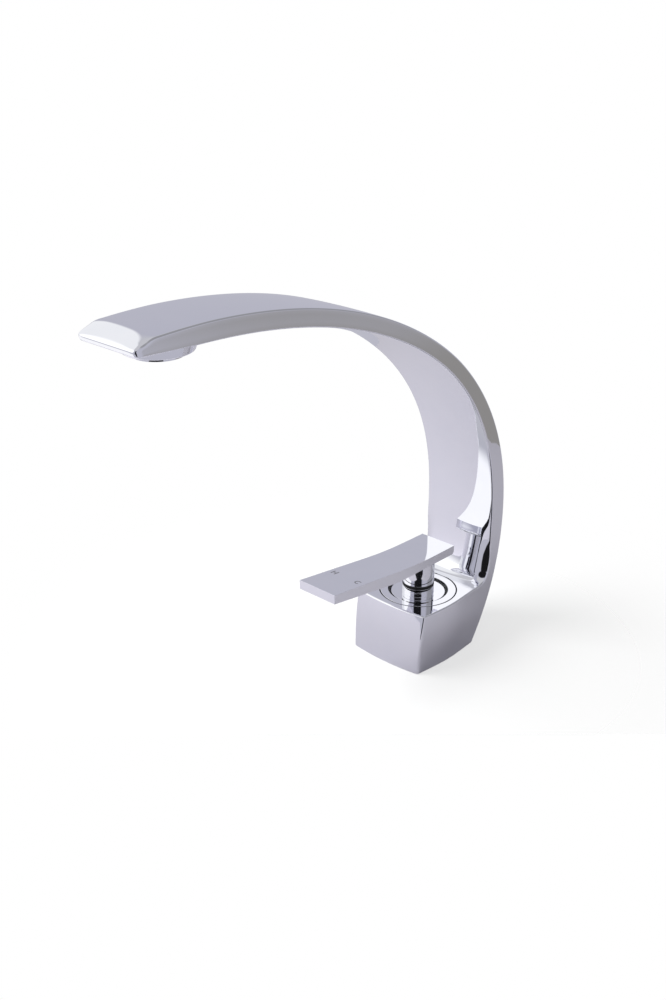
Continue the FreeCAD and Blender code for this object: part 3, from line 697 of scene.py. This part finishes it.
def hotMarkMesh():
    # a grid of nine cells, of which the two gaps of an H are taken out
    bm = bmesh.new()
    bmesh.ops.create_grid(bm, x_segments=3, y_segments=3, size=1)
    for vert in bm.verts:
        outerColumn, outerRow = abs(vert.co.x) > 0.9, abs(vert.co.y) > 0.9
        x = marks["width"] / 2 if outerColumn else marks["width"] / 2 - marks["stroke"]
        y = marks["height"] / 2 if outerRow else marks["stroke"] / 2
        vert.co = (math.copysign(x, vert.co.x), math.copysign(y, vert.co.y), 0)
    gaps = [f for f in bm.faces if abs(f.calc_center_median().x) < 0.1 and abs(f.calc_center_median().y) > 0.5]
    bmesh.ops.delete(bm, geom=gaps, context='FACES')
    return bm


def coldMarkMesh():
    # a short edge spun most of the way round to a C
    bm = bmesh.new()
    radius = marks["height"] / 2
    ends = [bm.verts.new((r, 0, 0)) for r in (radius - marks["stroke"], radius)]
    edge = bm.edges.new(ends)
    opening = math.radians(marks["openingDeg"])
    bmesh.ops.rotate(bm, cent=(0, 0, 0), matrix=Matrix.Rotation(opening, 3, 'Z'), verts=ends)
    bmesh.ops.spin(bm, geom=ends + [edge], cent=(0, 0, 0), axis=(0, 0, 1), angle=2 * math.pi - 2 * opening,
                   steps=marks["steps"])
    return bm


for name, bm, side, node in (("hot_mark_fill", hotMarkMesh(), -marks["side"], "hot_mark"),
                             ("cold_mark_fill", coldMarkMesh(), marks["side"], "cold_mark")):
    extrudeFaces(bm, (0, 0, -marks["sink"]))
    bmesh.ops.transform(bm, matrix=markPlace(side), verts=bm.verts[:])
    finishPiece(bm, name, [finishes["mark"]], "lever", [node])


studio = {
    "floorRadius": 0.382,
    "floorHole": ((-0.0235, -0.028), (0.0235, 0.022)),
    "floorColour": "BFBDC6",
    "shadowShare": 0.4,
    "shadowFade": (0.05, 0.26),
    "floorEdge": ((0.69, -0.725, 0.0), 0.10),
    "ambient": 0.5,
    "reflectedStrength": 1.2,
    "base": "ADADB8",
    "cards": [
        # (direction, cosines where the card starts and is full, colour)
        ((0.55, 0.76, -0.35), (0.92, 1.00), "868482"),  # grey, low behind on the right
        ((0.10, 0.10, 1.00), (0.60, 0.85), "BBBBBF"),  # pale, overhead
        ((0.40, 0.66, 0.63), (0.74, 0.88), "8C8C90"),  # grey, high behind
        ((-0.95, -0.20, 0.36), (0.755, 0.80), "E4E5E7"),  # bright, on the left
        ((-0.75, -0.25, -0.61), (0.90, 0.95), "F0F0F2"),  # bright, low on the left
        ((-0.62, -0.68, 0.39), (0.84, 0.90), "FFFFFF"),  # white, in front on the left
        ((0.58, -0.72, 0.38), (0.88, 0.93), "161618"),  # the dark room, in front on the right
        ((0.58, -0.68, -0.38), (0.865, 0.90), "161618"),  # the same, lower
    ],
    "keyPower": 11.5,
    "keySize": 0.6,
    "keyPlace": (-0.5, -0.55, 0.72),
}

scene = bpy.context.scene
scene.view_settings.view_transform = 'Standard'
world = bpy.data.worlds.new("pale_studio")
scene.world = world
world.use_nodes = True
tree = world.node_tree
tree.nodes.clear()
direction = addNode(tree, 'ShaderNodeTexCoord').outputs["Generated"]
path = addNode(tree, 'ShaderNodeLightPath')
seen = None
for towards, (start, end), colour in studio["cards"]:
    facing = addNode(tree, 'ShaderNodeVectorMath', {"operation": 'DOT_PRODUCT', 1: Vector(towards).normalized()},
                     {0: direction})
    edge = addNode(tree, 'ShaderNodeMapRange',
                   {"interpolation_type": 'SMOOTHSTEP', "From Min": start, "From Max": end},
                   {"Value": facing.outputs["Value"]})
    card = addNode(tree, 'ShaderNodeMix', {"data_type": 'RGBA', 6: hexColour(studio["base"]), 7: hexColour(colour)},
                   {0: edge.outputs["Result"]})
    if seen:
        tree.links.new(seen, card.inputs[6])
    seen = card.outputs[2]
reflected = addNode(tree, 'ShaderNodeBackground', {"Strength": studio["reflectedStrength"]}, {"Color": seen})
ambient = addNode(tree, 'ShaderNodeBackground', {"Color": (1, 1, 1, 1), "Strength": studio["ambient"]})
backdrop = addNode(tree, 'ShaderNodeBackground', {"Color": (1, 1, 1, 1), "Strength": 1.0})
mirrored = addNode(tree, 'ShaderNodeMath', {"operation": 'MAXIMUM'},
                   {0: path.outputs["Is Glossy Ray"], 1: path.outputs["Is Transmission Ray"]})
lightSeen = addNode(tree, 'ShaderNodeMixShader', {}, {0: mirrored.outputs[0], 1: ambient.outputs[0],
                                                      2: reflected.outputs[0]})
allSeen = addNode(tree, 'ShaderNodeMixShader', {}, {0: path.outputs["Is Camera Ray"], 1: lightSeen.outputs[0],
                                                    2: backdrop.outputs[0]})
addNode(tree, 'ShaderNodeOutputWorld', {}, {"Surface": allSeen.outputs[0]})

bm = bmesh.new()
bmesh.ops.create_circle(bm, cap_ends=True, radius=studio["floorRadius"], segments=128)
# an opening under the foot, so that light reaches it from below
holeLow, holeHigh = (Vector((*corner, 0)) for corner in studio["floorHole"])
for corner in (holeLow, holeHigh):
    for across in ((1, 0, 0), (0, 1, 0)):
        bmesh.ops.bisect_plane(bm, geom=bm.verts[:] + bm.edges[:] + bm.faces[:], plane_co=corner, plane_no=across)
middle = (holeLow + holeHigh) / 2
hole = min(bm.faces, key=lambda f: (f.calc_center_median() - middle).length)
bmesh.ops.delete(bm, geom=[hole], context='FACES')
# the paper ends on the camera's side, so that metal shows the dark room there
edgeTowards, edgeAway = studio["floorEdge"]
bmesh.ops.bisect_plane(bm, geom=bm.verts[:] + bm.edges[:] + bm.faces[:], plane_co=Vector(edgeTowards) * edgeAway,
                       plane_no=edgeTowards, clear_outer=True)
floorMesh = bpy.data.meshes.new("studio_floor")
bm.to_mesh(floorMesh)
bm.free()
floor = bpy.data.objects.new("studio_floor", floorMesh)
scene.collection.objects.link(floor)
paper = bpy.data.materials.new("pale_floor")
paper.use_nodes = True
tree = paper.node_tree
tree.nodes.clear()
path = addNode(tree, 'ShaderNodeLightPath')
side = addNode(tree, 'ShaderNodeNewGeometry')
colour = addNode(tree, 'ShaderNodeMix', {"data_type": 'RGBA', 6: hexColour(studio["floorColour"]), 7: (1, 1, 1, 1)},
                 {0: path.outputs["Is Camera Ray"]})
matt = addNode(tree, 'ShaderNodeBsdfDiffuse', {}, {"Color": colour.outputs[2]})
clear = addNode(tree, 'ShaderNodeBsdfTransparent')
# the camera sees the white backdrop through the paper, with a soft shadow near the tap
place = addNode(tree, 'ShaderNodeTexCoord').outputs["Object"]
away = addNode(tree, 'ShaderNodeVectorMath', {"operation": 'LENGTH'}, {0: place})
fadeStart, fadeEnd = studio["shadowFade"]
fade = addNode(tree, 'ShaderNodeMapRange', {"interpolation_type": 'SMOOTHSTEP', "From Min": fadeStart,
                                            "From Max": fadeEnd, "To Min": 1 - studio["shadowShare"]},
               {"Value": away.outputs["Value"]})
seenThrough = addNode(tree, 'ShaderNodeMath', {"operation": 'MULTIPLY'},
                      {0: fade.outputs["Result"], 1: path.outputs["Is Camera Ray"]})
clearShare = addNode(tree, 'ShaderNodeMath', {"operation": 'MAXIMUM'},
                     {0: seenThrough.outputs[0], 1: side.outputs["Backfacing"]})
oneSided = addNode(tree, 'ShaderNodeMixShader', {},
                   {0: clearShare.outputs[0], 1: matt.outputs[0], 2: clear.outputs[0]})
addNode(tree, 'ShaderNodeOutputMaterial', {}, {"Surface": oneSided.outputs[0]})
floorMesh.materials.append(paper)

keyData = bpy.data.lights.new("key_softbox", 'AREA')
keyData.energy = studio["keyPower"]
keyData.size = studio["keySize"]
key = bpy.data.objects.new("key_softbox", keyData)
key.location = studio["keyPlace"]
key.rotation_euler = (-Vector(studio["keyPlace"])).to_track_quat('-Z', 'Y').to_euler()
key.visible_glossy = False
scene.collection.objects.link(key)

view = {"place": (0.4284, -0.5273, 0.3978), "tiltDeg": 66.10, "turnDeg": 43.51, "lens": 44.71, "sensor": 36.0}
cameraData = bpy.data.cameras.new("photo_view")
cameraData.lens = view["lens"]
cameraData.sensor_width = view["sensor"]
camera = bpy.data.objects.new("photo_view", cameraData)
camera.location = view["place"]
camera.rotation_euler = (math.radians(view["tiltDeg"]), 0, math.radians(view["turnDeg"]))
scene.collection.objects.link(camera)
scene.camera = camera
print("floor, light and camera set")
